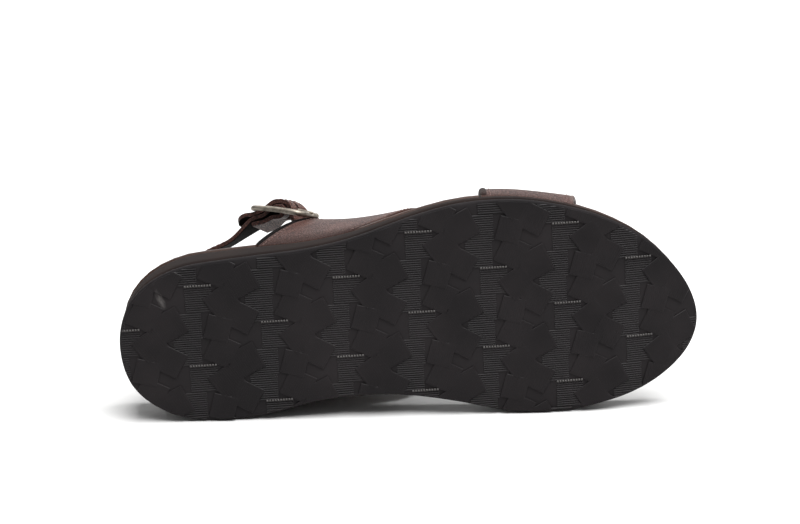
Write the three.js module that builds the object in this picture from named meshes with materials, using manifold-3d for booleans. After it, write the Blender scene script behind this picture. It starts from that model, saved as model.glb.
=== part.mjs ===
// Slingback slide sandal for the right foot, lying on its medial side with the sole towards -Y and the toe
// towards +X. Every piece is worked out in the shoe's own frame and then laid down as one group. In that
// frame x runs from the back of the heel to the toe, y towards the medial side and z up from the tread.
// Sizes are in millimetres, and angles in the tables are in degrees.

import * as THREE from 'three';
import { mergeGeometries, mergeVertices } from 'three/addons/utils/BufferGeometryUtils.js';
import loadManifold from 'manifold-3d';

// Sole
const SOLE_LENGTH = 287;
const OUTSOLE_THICKNESS = 5;
const FOOTBED_THICKNESS = 4;
const TOE_SPRING = 9;
const SPRING_START = 205;
const EDGE_ROUND = 0.8;
const MEDIAL_DRAFT = 0.075;
const SOLE_STATIONS = 40;
const FLAT_FACES = 2;
const DISHED_FACES = 8;
const HEEL_BACK = { x: 0, y: -0.5 };
const TOE_TIP = { x: SOLE_LENGTH, y: -4 };

// Leather and metal stock
const GAP = 0.3;
const BAND_THICKNESS = 2.6;
const NOTCH_RAISE = 3;
const PATTERN_WIDTH = 40;
const BAND_FACES = 5;
const STRAP_FACES = 2;
const HEEL_STRAP = { width: 16.4, thickness: 2.3, steps: 64 };
const BILLET = { width: 14, thickness: 2.2, steps: 40 };
const LEATHER_ROUND = 0.7;

// Buckle, around the middle of its centre bar
const BUCKLE = { railReach: 14.6, railRise: 10.5, cornerRadius: 3.5, railRadius: 1.5, barRadius: 1.3 };
const BUCKLE_MIDDLE = { x: 82, y: -49.8, z: 73 };
const BUCKLE_TURN = { pitch: 28, yaw: 2, roll: -13 };
const PRONG_RADIUS = 0.8;
const PRONG_REST = 1.2;
const PRONG_SLOT = { along: 9.9, through: 17.4, across: 3.4 };
const HOOK_TURNS = [-20, -70, -120, -170, -220, -270];
const TIP_END = 0.35;
const CORNER_STEPS = 3;
const FRAME_STEPS = 48;
const PRONG_STEPS = 28;
const WIRE_SIDES = 8;
const BAR_SIDES = 12;

// Reach of the tread to either side of the heel's middle line
const SOLE_OUTLINE = [
  { x: 4, medial: 19, lateral: 17.5 },
  { x: 14, medial: 30.5, lateral: 29.6 },
  { x: 30, medial: 38.4, lateral: 37.6 },
  { x: 50, medial: 40, lateral: 40.8 },
  { x: 70, medial: 38, lateral: 43.2 },
  { x: 92, medial: 32.4, lateral: 45.8 },
  { x: 115, medial: 29.2, lateral: 51 },
  { x: 140, medial: 29.6, lateral: 60 },
  { x: 165, medial: 33.4, lateral: 66.8 },
  { x: 190, medial: 39, lateral: 68.4 },
  { x: 212, medial: 40, lateral: 66 },
  { x: 235, medial: 37.2, lateral: 59.6 },
  { x: 256, medial: 31, lateral: 48.8 },
  { x: 272, medial: 21.5, lateral: 34.6 },
  { x: 283, medial: 9.5, lateral: 19 },
];

// Sole from tread to rim, and how deep the footbed dishes below its rim
const SOLE_SECTIONS = [
  { x: 0, thickness: 30, dish: 0 },
  { x: 12, thickness: 30, dish: 2 },
  { x: 50, thickness: 29.4, dish: 5 },
  { x: 90, thickness: 25, dish: 3.5 },
  { x: 120, thickness: 20.8, dish: 2 },
  { x: 150, thickness: 17.6, dish: 1.2 },
  { x: 190, thickness: 16, dish: 1.6 },
  { x: 235, thickness: 14.4, dish: 1 },
  { x: SOLE_LENGTH, thickness: 12.5, dish: 0 },
];

// The last that the bands are pulled over: crown above the rim, and how far each flank swells past an even
// arch
const LAST_SECTIONS = [
  { x: 60, crown: 84, lateralSwell: 10, medialSwell: 9 },
  { x: 90, crown: 79, lateralSwell: 7.5, medialSwell: 11 },
  { x: 120, crown: 68, lateralSwell: 1.5, medialSwell: 9 },
  { x: 150, crown: 54, lateralSwell: -3, medialSwell: 4 },
  { x: 180, crown: 41, lateralSwell: 4, medialSwell: 1 },
  { x: 210, crown: 33, lateralSwell: 5.6, medialSwell: 1 },
  { x: 240, crown: 27, lateralSwell: 10, medialSwell: 1 },
];
const ARCH_POWER = 0.8;
const CROWN_TO_MEDIAL = 6;

// Where each band's rear and front edges stand, from the lateral rim over the crown to the medial rim. A
// small bend sweeps an edge off the rim sooner.
const FRONT_BAND = {
  rear: { lateral: 177, crown: 183, medial: 189, bend: 1 },
  front: { lateral: 223, crown: 233, medial: 238, bend: 1 },
  turns: 28,
};
const INSTEP_BAND = {
  rear: { lateral: 67, crown: 120, medial: 71, bend: 0.9 },
  front: { lateral: 115, crown: 165, medial: 122, bend: 0.35 },
  turns: 34,
};

// Ways of the two straps at the buckle, from its bar: along the strap, out from the foot, and how far the
// strap's top rolls in
const HEEL_FOLD = [
  { along: -14, out: -9.85, roll: 12 },
  { along: -7.5, out: -7.1, roll: 7 },
  { along: -2.9, out: -3.48, roll: 0 },
  { along: 1.45, out: -2.51, roll: 0 },
  { along: 2.72, out: -0.99, roll: 0 },
  { along: 2.72, out: 0.99, roll: 0 },
  { along: 1.45, out: 2.51, roll: 0 },
  { along: -2.9, out: 1.74, roll: 0 },
  { along: -8.25, out: -3.82, roll: 5 },
  { along: -15, out: -7.0, roll: 8 },
];
const BILLET_RUN = [
  { along: -24.3, out: -8.4, roll: 26 },
  { along: -19.5, out: -5.9, roll: 16 },
  { along: -15, out: -3.85, roll: 6 },
  { along: -8.7, out: 0, roll: 3 },
  { along: -3.9, out: 4.5, roll: 0 },
  { along: 0, out: 5.25, roll: 0 },
  { along: 4.4, out: 4.4, roll: 0 },
  { along: 8.6, out: -0.6, roll: -24 },
  { along: 12.6, out: -7.5, roll: -14 },
];

// The heel strap's own loop behind the buckle, at the middle of its width, and how far its top leans in
const HEEL_LOOP = [
  { x: 55, y: -31.8, z: 80, lean: 19 },
  { x: 42, y: -26, z: 82.5, lean: 19 },
  { x: 27, y: -17.8, z: 84, lean: 18 },
  { x: 16.5, y: -7.5, z: 84.5, lean: 16 },
  { x: 14, y: 4, z: 83.5, lean: 14 },
  { x: 18, y: 15.5, z: 81, lean: 12 },
  { x: 28, y: 24.8, z: 77, lean: 9 },
  { x: 48, y: 32.2, z: 71, lean: 7 },
  { x: 66, y: 34.4, z: 67.5, lean: 6 },
];
const HEEL_MIDDLE = { x: 60, y: 0 };

// Where a strap runs inside a quarter, sewn to it
const SEWN_DEPTH = BAND_THICKNESS + 3 * GAP;
const SEWN_MEDIAL = { from: 86, to: 108, height: 66 };
const SEWN_LATERAL = { from: 100, to: 114, height: 70 };

const WELD = 1e-4;
const HALVINGS = 40;
const MEDIAL = 1;
const LATERAL = -1;
const UP = new THREE.Vector3(0, 0, 1);
const { Manifold, Mesh: ManifoldMesh } = await manifold();

async function manifold() {
  const wasm = await loadManifold();
  wasm.setup();
  return wasm;
}

// A smooth reading of one column of a table at any x.
function column(rows, name) {
  const xs = rows.map((row) => row.x);
  const values = rows.map((row) => row[name]);
  const spline = new THREE.CubicInterpolant(xs, values, 1, new Float64Array(1));
  return (x) => spline.evaluate(THREE.MathUtils.clamp(x, xs[0], xs.at(-1)))[0];
}

const soleThickness = column(SOLE_SECTIONS, 'thickness');
const footbedDish = column(SOLE_SECTIONS, 'dish');
const lastCrown = column(LAST_SECTIONS, 'crown');
const lastSwell = {
  [MEDIAL]: column(LAST_SECTIONS, 'medialSwell'),
  [LATERAL]: column(LAST_SECTIONS, 'lateralSwell'),
};
const treadReach = {
  [MEDIAL]: column(SOLE_OUTLINE, 'medial'),
  [LATERAL]: column(SOLE_OUTLINE, 'lateral'),
};

// Height of the tread above the floor line of heel and ball: flat up to the toe spring.
function treadHeight(x) {
  const along = Math.max(0, (x - SPRING_START) / (SOLE_LENGTH - SPRING_START));
  return TOE_SPRING * along ** 2;
}

function rimHeight(x) {
  return treadHeight(x) + soleThickness(x);
}

// The footbed's surface, dished between its rims. Across runs from 0 at the medial rim to 1 at the lateral.
function footbedHeight(x, across) {
  return rimHeight(x) - footbedDish(x) * 4 * across * (1 - across);
}

// Geometry of a closed body, its faces turned outwards whichever way they were listed.
function facingOut(positions, indices) {
  const a = new THREE.Vector3();
  const b = new THREE.Vector3();
  const c = new THREE.Vector3();
  let volume = 0;
  for (let i = 0; i < indices.length; i += 3) {
    a.copy(positions[indices[i]]);
    b.copy(positions[indices[i + 1]]);
    c.copy(positions[indices[i + 2]]);
    volume += a.dot(b.cross(c));
  }
  const geometry = new THREE.BufferGeometry().setFromPoints(positions);
  geometry.setIndex(volume < 0 ? indices.slice().reverse() : indices);
  return mergeVertices(geometry, WELD);
}

// Strips of quads between neighbouring rings of the same number of points.
function ringStrips(rings, closed) {
  const size = rings[0].length;
  const indices = [];
  const count = closed ? rings.length : rings.length - 1;
  for (let ring = 0; ring < count; ring += 1) {
    const here = ring * size;
    const next = ((ring + 1) % rings.length) * size;
    for (let point = 0; point < size; point += 1) {
      const beside = (point + 1) % size;
      indices.push(here + point, here + beside, next + beside, here + point, next + beside, next + point);
    }
  }
  return indices;
}

// A solid swept through rings of one profile, with its two ends closed unless it runs round on itself. An end
// is closed by quads between the two halves of the profile, so that it follows a curved end.
function sweep(rings, closed = false) {
  const indices = ringStrips(rings, closed);
  const size = rings[0].length;
  const last = (rings.length - 1) * size;
  for (let here = 0; !closed && here < size / 2 - 1; here += 1) {
    const facing = size - 1 - here;
    const start = [here + 1, here, facing, here + 1, facing, facing - 1];
    const end = [here, here + 1, facing, here + 1, facing - 1, facing];
    indices.push(...start, ...end.map((point) => point + last));
  }
  return facingOut(rings.flat(), indices);
}

function solidOf(geometry) {
  const bare = geometry.clone().deleteAttribute('normal').deleteAttribute('uv');
  const welded = mergeVertices(bare, WELD);
  const vertProperties = new Float32Array(welded.getAttribute('position').array);
  const triVerts = new Uint32Array(welded.index.array);
  return new Manifold(new ManifoldMesh({ numProp: 3, vertProperties, triVerts }));
}

function geometryOf(solid) {
  const mesh = solid.getMesh();
  const geometry = new THREE.BufferGeometry();
  geometry.setAttribute('position', new THREE.BufferAttribute(new Float32Array(mesh.vertProperties), 3));
  geometry.setIndex(new THREE.BufferAttribute(new Uint32Array(mesh.triVerts), 1));
  return geometry;
}

function cut(geometry, ...tools) {
  return geometryOf(tools.reduce((solid, tool) => solid.subtract(solidOf(tool)), solidOf(geometry)));
}

function join(...geometries) {
  return geometryOf(geometries.map(solidOf).reduce((solid, other) => solid.add(other)));
}

function outlineCurve() {
  const medial = SOLE_OUTLINE.map((row) => new THREE.Vector3(row.x, row.medial, 0));
  const lateral = SOLE_OUTLINE.map((row) => new THREE.Vector3(row.x, -row.lateral, 0)).reverse();
  const heel = new THREE.Vector3(HEEL_BACK.x, HEEL_BACK.y, 0);
  const toe = new THREE.Vector3(TOE_TIP.x, TOE_TIP.y, 0);
  return new THREE.CatmullRomCurve3([heel, ...medial, toe, ...lateral], true, 'centripetal');
}

const soleCurve = outlineCurve();

// A point of the sole's edge, set in from the tread's outline. Steps run from the heel's back to the toe.
function soleEdge(side, step, inset) {
  const half = step / SOLE_STATIONS / 2;
  const along = side === MEDIAL ? half : 1 - half;
  const point = soleCurve.getPoint(along % 1);
  const tangent = soleCurve.getTangent(along % 1);
  const outward = new THREE.Vector2(-tangent.y, tangent.x);
  const depth = inset(point.x, outward.y);
  return new THREE.Vector2(point.x - outward.x * depth, point.y - outward.y * depth);
}

// One layer of the sole. Levels climb its side, and each gives an inset from the tread's outline and a height
// that may depend on x and on the place across. The first and last levels close it underneath and on top.
function soleLayer(levels, acrossBelow, acrossAbove) {
  const steps = Array.from({ length: SOLE_STATIONS + 1 }, (_, step) => step);
  const edge = (level, side) => steps.map((step) => soleEdge(side, step, level.inset));
  const rings = levels.map((level) => {
    const medial = edge(level, MEDIAL).map((p) => new THREE.Vector3(p.x, p.y, level.height(p.x, 0)));
    const lateral = edge(level, LATERAL).map((p) => new THREE.Vector3(p.x, p.y, level.height(p.x, 1)));
    return [...medial, ...lateral.slice(1, -1).reverse()];
  });
  const wall = new THREE.BufferGeometry().setFromPoints(rings.flat());
  wall.setIndex(ringStrips(rings, false));
  const under = soleFace(levels[0], edge, acrossBelow, true);
  const over = soleFace(levels.at(-1), edge, acrossAbove, false);
  const merged = mergeVertices(mergeGeometries([wall, under, over]), WELD);
  const points = [];
  for (let i = 0; i < merged.getAttribute('position').count; i += 1) {
    points.push(new THREE.Vector3().fromBufferAttribute(merged.getAttribute('position'), i));
  }
  const corners = Array.from(merged.index.array);
  const kept = [];
  for (let i = 0; i < corners.length; i += 3) {
    const [a, b, c] = corners.slice(i, i + 3);
    if (a !== b && b !== c && a !== c) kept.push(a, b, c);
  }
  return facingOut(points, kept);
}

// A face of a layer, gridded from the medial edge to the lateral one.
function soleFace(level, edge, across, below) {
  const medial = edge(level, MEDIAL);
  const lateral = edge(level, LATERAL);
  const points = [];
  const indices = [];
  medial.forEach((from, step) => {
    for (let place = 0; place <= across; place += 1) {
      const p = from.clone().lerp(lateral[step], place / across);
      points.push(new THREE.Vector3(p.x, p.y, level.height(p.x, place / across)));
    }
  });
  for (let step = 0; step < SOLE_STATIONS; step += 1) {
    for (let place = 0; place < across; place += 1) {
      const a = step * (across + 1) + place;
      const b = a + across + 1;
      const quad = [a, b, b + 1, a, b + 1, a + 1];
      indices.push(...(below ? quad.reverse() : quad));
    }
  }
  const face = new THREE.BufferGeometry().setFromPoints(points);
  face.setIndex(indices);
  return face;
}

// The sole's side leans in over the medial edge, so that the sandal tips over onto its upper. Rounding takes
// a little more off the edge of a layer.
function sideInset(height, rounding = 0) {
  return (x, outwardY) => rounding + MEDIAL_DRAFT * Math.max(0, outwardY) * (height(x) - treadHeight(x));
}

function outsole() {
  const top = (x) => treadHeight(x) + OUTSOLE_THICKNESS;
  return soleLayer([
    { inset: sideInset(treadHeight, EDGE_ROUND), height: treadHeight },
    { inset: sideInset(treadHeight), height: (x) => treadHeight(x) + EDGE_ROUND },
    { inset: sideInset(top), height: top },
  ], FLAT_FACES, FLAT_FACES);
}

function midsole() {
  const bottom = (x) => treadHeight(x) + OUTSOLE_THICKNESS + GAP;
  const rim = (x) => rimHeight(x) - FOOTBED_THICKNESS;
  const top = (x, across) => footbedHeight(x, across) - FOOTBED_THICKNESS;
  return soleLayer([
    { inset: sideInset(bottom, EDGE_ROUND), height: bottom },
    { inset: sideInset(bottom), height: (x) => bottom(x) + EDGE_ROUND },
    { inset: sideInset(rim), height: (x) => rim(x) - EDGE_ROUND },
    { inset: sideInset(rim, EDGE_ROUND), height: top },
  ], FLAT_FACES, DISHED_FACES);
}

function footbed() {
  const bottom = (x, across) => footbedHeight(x, across) - FOOTBED_THICKNESS + GAP;
  return soleLayer([
    { inset: sideInset(rimHeight, EDGE_ROUND), height: bottom },
    { inset: sideInset(rimHeight), height: (x) => bottom(x, 0) + EDGE_ROUND },
    { inset: sideInset(rimHeight), height: (x) => rimHeight(x) - 2 * EDGE_ROUND },
    { inset: sideInset(rimHeight, 2 * EDGE_ROUND), height: footbedHeight },
  ], DISHED_FACES, DISHED_FACES);
}

// A point of the last's surface. Turn goes from 0 at the lateral rim over the crown to pi at the medial rim.
function lastPoint(x, turn) {
  const seat = rimHeight(x) - FOOTBED_THICKNESS + GAP;
  const reachIn = GAP + MEDIAL_DRAFT * soleThickness(x);
  const medial = treadReach[MEDIAL](x) - reachIn;
  const lateral = -treadReach[LATERAL](x) + GAP;
  const cos = Math.cos(turn);
  const sin = Math.sin(turn);
  const side = cos > 0 ? LATERAL : MEDIAL;
  const spread = Math.abs(cos) ** ARCH_POWER * side;
  const swell = lastSwell[side](x) * Math.abs(Math.sin(2 * turn)) * side;
  const y = (medial + lateral) / 2 + spread * (medial - lateral) / 2 + swell + CROWN_TO_MEDIAL * sin ** 4;
  return new THREE.Vector3(x, y, seat + (lastCrown(x) + FOOTBED_THICKNESS - GAP) * sin ** ARCH_POWER);
}

function lastNormal(x, turn) {
  const step = 1e-3;
  const along = lastPoint(x + step, turn).sub(lastPoint(x - step, turn));
  const around = lastPoint(x, Math.min(Math.PI, turn + step)).sub(lastPoint(x, Math.max(0, turn - step)));
  return around.cross(along).normalize().negate();
}

// A place at a height on one flank of the last, set in from the surface, with the way up along the flank.
function onFlank(side, x, height, depth) {
  let low = 0;
  let high = Math.PI / 2;
  for (let i = 0; i < HALVINGS; i += 1) {
    const middle = (low + high) / 2;
    const flank = side === LATERAL ? middle : Math.PI - middle;
    if (lastPoint(x, flank).z < height) low = middle;
    else high = middle;
  }
  const turn = side === LATERAL ? low : Math.PI - low;
  const normal = lastNormal(x, turn);
  const across = UP.clone().addScaledVector(normal, -UP.dot(normal)).normalize();
  return { at: lastPoint(x, turn).addScaledVector(normal, -depth), across };
}

// An edge of a band runs from its lateral foot over the crown to its medial foot.
function bandEdge(edge, turn) {
  const foot = THREE.MathUtils.lerp(edge.lateral, edge.medial, turn / Math.PI);
  return foot + (edge.crown - (edge.lateral + edge.medial) / 2) * Math.sin(turn) ** edge.bend;
}

// Section through a strap: across its width, and in through its thickness, with its corners rounded.
function strapProfile(width, thickness, faces) {
  const half = width / 2;
  const flat = width - 2 * LEATHER_ROUND;
  const inner = Array.from({ length: faces + 1 }, (_, i) => flat * (i / faces - 0.5));
  const outside = inner.map((across) => new THREE.Vector2(across, 0));
  const inside = inner.map((across) => new THREE.Vector2(across, thickness)).reverse();
  const [rear, front] = [-half, half].map((edge) => [LEATHER_ROUND, thickness - LEATHER_ROUND]
    .map((depth) => new THREE.Vector2(edge, depth)));
  return [rear[0], ...outside, ...front, ...inside, rear[1]];
}

// A band pulled over the last from rim to rim: a hollow arch, open in front, behind and underneath. Grown all
// round and raised out of the sole's side, the same arch is the tool that notches the footbed.
function band(shape, grow = 0, raise = 0) {
  const profile = strapProfile(PATTERN_WIDTH, BAND_THICKNESS + raise + grow, BAND_FACES);
  const flat = PATTERN_WIDTH / 2 - LEATHER_ROUND;
  const rings = [];
  for (let i = 0; i <= shape.turns; i += 1) {
    const turn = Math.PI * i / shape.turns;
    const rear = bandEdge(shape.rear, turn) - grow;
    const front = bandEdge(shape.front, turn) + grow;
    const half = (front - rear) / 2 - LEATHER_ROUND;
    rings.push(profile.map((p) => {
      const within = THREE.MathUtils.clamp(p.x, -flat, flat);
      const x = (rear + front) / 2 + within * half / flat + p.x - within;
      return lastPoint(x, turn).addScaledVector(lastNormal(x, turn), raise - p.y);
    }));
  }
  if (raise > 0) {
    const lowered = (ring) => ring.map((point) => point.clone().addScaledVector(UP, -raise));
    rings.unshift(lowered(rings[0]));
    rings.push(lowered(rings.at(-1)));
  }
  return sweep(rings);
}

// A strap swept through places that each give a point and the way its width stands there. It narrows at its
// start to a round tip if it has one.
function strap(places, stock, tip = 0) {
  const path = new THREE.CatmullRomCurve3(places.map((place) => place.at), false, 'centripetal');
  const stand = new THREE.CatmullRomCurve3(places.map((place) => place.across), false, 'catmullrom');
  const profile = strapProfile(stock.width, stock.thickness, STRAP_FACES);
  const rings = [];
  for (let i = 0; i <= stock.steps; i += 1) {
    const along = i / stock.steps;
    const middle = path.getPoint(along);
    const ahead = path.getTangent(along);
    const across = stand.getPoint(along);
    across.addScaledVector(ahead, -across.dot(ahead)).normalize();
    const inward = across.clone().cross(ahead);
    const fromTip = middle.distanceTo(places[0].at);
    const narrow = fromTip < tip ? Math.sqrt(1 - (1 - fromTip / tip) ** 2) : 1;
    const width = Math.max(narrow, TIP_END);
    rings.push(profile.map((p) => middle.clone()
      .addScaledVector(across, p.x * width)
      .addScaledVector(inward, p.y - stock.thickness / 2)));
  }
  return sweep(rings);
}

// The buckle's own axes: forward along the strap, out from the foot, and up across the strap.
const buckleMatrix = new THREE.Matrix4().compose(
  new THREE.Vector3(BUCKLE_MIDDLE.x, BUCKLE_MIDDLE.y, BUCKLE_MIDDLE.z),
  new THREE.Quaternion().setFromEuler(new THREE.Euler(
    THREE.MathUtils.degToRad(BUCKLE_TURN.roll),
    THREE.MathUtils.degToRad(BUCKLE_TURN.pitch),
    THREE.MathUtils.degToRad(BUCKLE_TURN.yaw),
    'ZYX',
  )),
  new THREE.Vector3(1, 1, 1),
);

function atBuckle(forward, out, up = 0) {
  return new THREE.Vector3(forward, -out, up).applyMatrix4(buckleMatrix);
}

const buckleUp = atBuckle(0, 0, 1).sub(atBuckle(0, 0, 0));

// A place on a strap at the buckle, its width along the buckle's bar or rolled in from it at the top.
function throughBuckle(row) {
  const forward = atBuckle(1, 0).sub(atBuckle(0, 0));
  const across = buckleUp.clone().applyAxisAngle(forward, THREE.MathUtils.degToRad(-row.roll));
  return { at: atBuckle(row.along, row.out), across };
}

// The heel strap from its tail, round the buckle's bar, back along the foot and round the heel to the medial
// quarter, with a slot for the prong at its fold.
function heelStrap() {
  const places = [
    ...HEEL_FOLD.map(throughBuckle),
    ...HEEL_LOOP.map(aroundHeel),
    ...sewnEnd(MEDIAL, SEWN_MEDIAL, HEEL_STRAP.thickness),
  ];
  const slot = new THREE.BoxGeometry(PRONG_SLOT.along, PRONG_SLOT.through, PRONG_SLOT.across);
  return cut(strap(places, HEEL_STRAP), slot.applyMatrix4(buckleMatrix));
}

// A place on the loop round the heel, its width leaning in over the footbed.
function aroundHeel(row) {
  const lean = THREE.MathUtils.degToRad(row.lean);
  const inward = new THREE.Vector3(HEEL_MIDDLE.x - row.x, HEEL_MIDDLE.y - row.y, 0).normalize();
  const across = UP.clone().multiplyScalar(Math.cos(lean)).addScaledVector(inward, Math.sin(lean));
  return { at: new THREE.Vector3(row.x, row.y, row.z), across };
}

// Places along the inner face of a quarter, where a strap is sewn to it.
function sewnEnd(side, sewn, layer) {
  const middle = (sewn.from + sewn.to) / 2;
  return [sewn.from, middle, sewn.to].map((x) => onFlank(side, x, sewn.height, SEWN_DEPTH + layer / 2));
}

// The strap that comes out of the lateral quarter, up over the buckle's bar and on to its tip over the heel
// strap, with a hole for the prong.
function billet() {
  const run = BILLET_RUN.map(throughBuckle);
  const places = [...run, ...sewnEnd(LATERAL, SEWN_LATERAL, BILLET.thickness)];
  return cut(strap(places, BILLET, BILLET.width / 2), prong(2 * GAP));
}

// Round wire bent through points.
function tube(points, radius, closed, steps) {
  const curve = new THREE.CatmullRomCurve3(points, closed, 'centripetal');
  const profile = Array.from({ length: WIRE_SIDES }, (_, i) => {
    const angle = 2 * Math.PI * i / WIRE_SIDES;
    return new THREE.Vector2(radius * Math.cos(angle), radius * Math.sin(angle));
  });
  const frames = curve.computeFrenetFrames(steps, closed);
  const rings = [];
  for (let i = 0; i < (closed ? steps : steps + 1); i += 1) {
    const middle = curve.getPointAt(i / steps);
    rings.push(profile.map((p) => middle.clone()
      .addScaledVector(frames.normals[i], p.x)
      .addScaledVector(frames.binormals[i], p.y)));
  }
  return sweep(rings, closed);
}

function buckleFrame() {
  const { railReach, railRise, cornerRadius, railRadius, barRadius } = BUCKLE;
  const points = [];
  for (const [alongSign, upSign] of [[1, 1], [-1, 1], [-1, -1], [1, -1]]) {
    for (let i = 0; i <= CORNER_STEPS; i += 1) {
      const quarter = Math.PI / 2 * (i / CORNER_STEPS);
      const angle = Math.atan2(upSign, alongSign) - Math.PI / 4 + quarter;
      const along = alongSign * (railReach - cornerRadius) + cornerRadius * Math.cos(angle);
      const up = upSign * (railRise - cornerRadius) + cornerRadius * Math.sin(angle);
      points.push(atBuckle(along, 0, up));
    }
  }
  const bar = new THREE.CylinderGeometry(barRadius, barRadius, 2 * railRise, BAR_SIDES);
  bar.rotateX(Math.PI / 2).applyMatrix4(buckleMatrix);
  const rails = cut(tube(points, railRadius, true, FRAME_STEPS), prong(GAP));
  return join(rails, bar);
}

// The prong hooks round the bar and runs forward through the billet to rest in a notch of the front rail.
function prong(grow = 0) {
  const { railReach, railRadius, barRadius } = BUCKLE;
  const hook = barRadius + GAP + PRONG_RADIUS;
  const points = HOOK_TURNS.map((degrees) => {
    const angle = THREE.MathUtils.degToRad(degrees);
    return atBuckle(hook * Math.cos(angle), hook * Math.sin(angle));
  });
  points.push(atBuckle(railReach / 2, (hook + PRONG_REST) / 2));
  points.push(atBuckle(railReach, PRONG_REST));
  points.push(atBuckle(railReach + railRadius + GAP, PRONG_REST));
  return tube(points, PRONG_RADIUS + grow, false, PRONG_STEPS);
}

const FINISHES = {
  rubber: { color: 0x2a292a, roughness: 0.75, metalness: 0 },
  foam: { color: 0x2c2a2b, roughness: 0.85, metalness: 0 },
  footbedLeather: { color: 0x4a332b, roughness: 0.6, metalness: 0 },
  brownLeather: { color: 0x4b3431, roughness: 0.55, metalness: 0 },
  antiqueMetal: { color: 0x8a8274, roughness: 0.4, metalness: 1 },
};

function piece(name, finish, geometry) {
  const made = new THREE.Mesh(geometry, new THREE.MeshStandardMaterial(FINISHES[finish]));
  made.name = name;
  return made;
}

// How far the sandal leans back, past lying square on its side, until sole edge and upper touch the floor.
function restingLean(sole, upper) {
  const point = new THREE.Vector3();
  const reach = (pieces, lean) => Math.max(...pieces.map((mesh) => {
    const positions = mesh.geometry.getAttribute('position');
    let furthest = -Infinity;
    for (let i = 0; i < positions.count; i += 1) {
      point.fromBufferAttribute(positions, i);
      furthest = Math.max(furthest, point.y * Math.cos(lean) + point.z * Math.sin(lean));
    }
    return furthest;
  }));
  let low = 0;
  let high = Math.PI / 8;
  for (let i = 0; i < HALVINGS; i += 1) {
    const middle = (low + high) / 2;
    if (reach(upper, middle) < reach(sole, middle)) low = middle;
    else high = middle;
  }
  return low;
}

function sandal() {
  const sole = [piece('outsole', 'rubber', outsole()), piece('midsole', 'foam', midsole())];
  const upper = [
    piece('front_band', 'brownLeather', band(FRONT_BAND)),
    piece('instep_band', 'brownLeather', band(INSTEP_BAND)),
    piece('heel_strap', 'brownLeather', heelStrap()),
    piece('buckle_strap', 'brownLeather', billet()),
  ];
  const notches = [FRONT_BAND, INSTEP_BAND].map((shape) => band(shape, GAP, NOTCH_RAISE));
  const inside = [
    piece('footbed', 'footbedLeather', cut(footbed(), ...notches)),
    piece('buckle_frame', 'antiqueMetal', buckleFrame()),
    piece('buckle_prong', 'antiqueMetal', prong()),
  ];
  const shoe = new THREE.Group().add(...sole, ...upper, ...inside);
  shoe.rotation.x = -(Math.PI / 2 + restingLean(sole, upper));
  const laid = new THREE.Group().add(shoe);
  const box = new THREE.Box3().setFromObject(laid, true);
  const middle = box.getCenter(new THREE.Vector3());
  shoe.position.set(-middle.x, -middle.y, -box.min.z);
  return laid;
}

export default sandal();
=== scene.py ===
# %% [markdown]
# # A slingback sandal lying on its side
# The frame holds nine plain solids: three layers of sole, two leather bands, two straps and a buckle of two
# pieces. This lesson dresses them one by one in rubber, foam, leather and metal. Every piece is modelled in
# the shoe's own millimetres, x from the heel to the toe, y towards the inner side of the foot and z up from
# the tread. One matrix then lays the finished piece on its side, where the frame has it.

# %% Load the frame
import math

import bmesh
import bpy
from mathutils import Euler, Matrix, Vector
from mathutils.bvhtree import BVHTree


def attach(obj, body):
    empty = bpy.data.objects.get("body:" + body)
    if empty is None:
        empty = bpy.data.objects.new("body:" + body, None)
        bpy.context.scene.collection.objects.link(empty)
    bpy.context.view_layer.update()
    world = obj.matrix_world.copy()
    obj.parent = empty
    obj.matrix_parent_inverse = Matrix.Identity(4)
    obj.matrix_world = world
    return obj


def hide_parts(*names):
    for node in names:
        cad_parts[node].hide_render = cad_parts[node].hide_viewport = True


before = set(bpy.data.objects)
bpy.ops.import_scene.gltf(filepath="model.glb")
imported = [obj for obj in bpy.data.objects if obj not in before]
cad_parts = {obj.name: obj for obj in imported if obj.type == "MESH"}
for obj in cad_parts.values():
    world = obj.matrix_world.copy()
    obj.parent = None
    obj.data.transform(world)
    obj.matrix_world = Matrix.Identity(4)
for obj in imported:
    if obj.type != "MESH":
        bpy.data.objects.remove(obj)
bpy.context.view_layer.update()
print("frame:", sorted(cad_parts))

# %% The shoe's own millimetres
MM = 0.001
LAID_TURN = -1.634723
LAID_PLACE = Vector((-143.5, -45.2542, 40.07))
LAID = Matrix.Scale(MM, 4) @ Matrix.Translation(LAID_PLACE) @ Matrix.Rotation(LAID_TURN, 4, "X")
STAND_UP = LAID.inverted()
print("laid back by", round(-math.degrees(LAID_TURN) - 90, 2), "degrees")

# %% [markdown]
# ## Shared helpers
# A copy of a solid arrives as loose triangles. Merging its doubles and joining the triangles gives back
# the regular quads that a subdivision surface needs. Each finished piece is laid down, rides on the only
# body, and hides the solid that it stands for. Colours are written as sRGB hex values and the sizes of
# patterns in millimetres, because that is how they are read off a real shoe.

# %% A copy of a solid, stood up
MERGE = 0.005
FLAT_PAIR = math.radians(35)
SQUARE_PAIR = math.radians(60)


def stood_copy(node):
    shape = bmesh.new()
    shape.from_mesh(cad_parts[node].data)
    bmesh.ops.transform(shape, matrix=STAND_UP, verts=shape.verts)
    bmesh.ops.remove_doubles(shape, verts=shape.verts, dist=MERGE)
    bmesh.ops.join_triangles(
        shape, faces=shape.faces, angle_face_threshold=FLAT_PAIR, angle_shape_threshold=SQUARE_PAIR
    )
    print(node, "copied:", len(shape.faces), "faces")
    return shape


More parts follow.
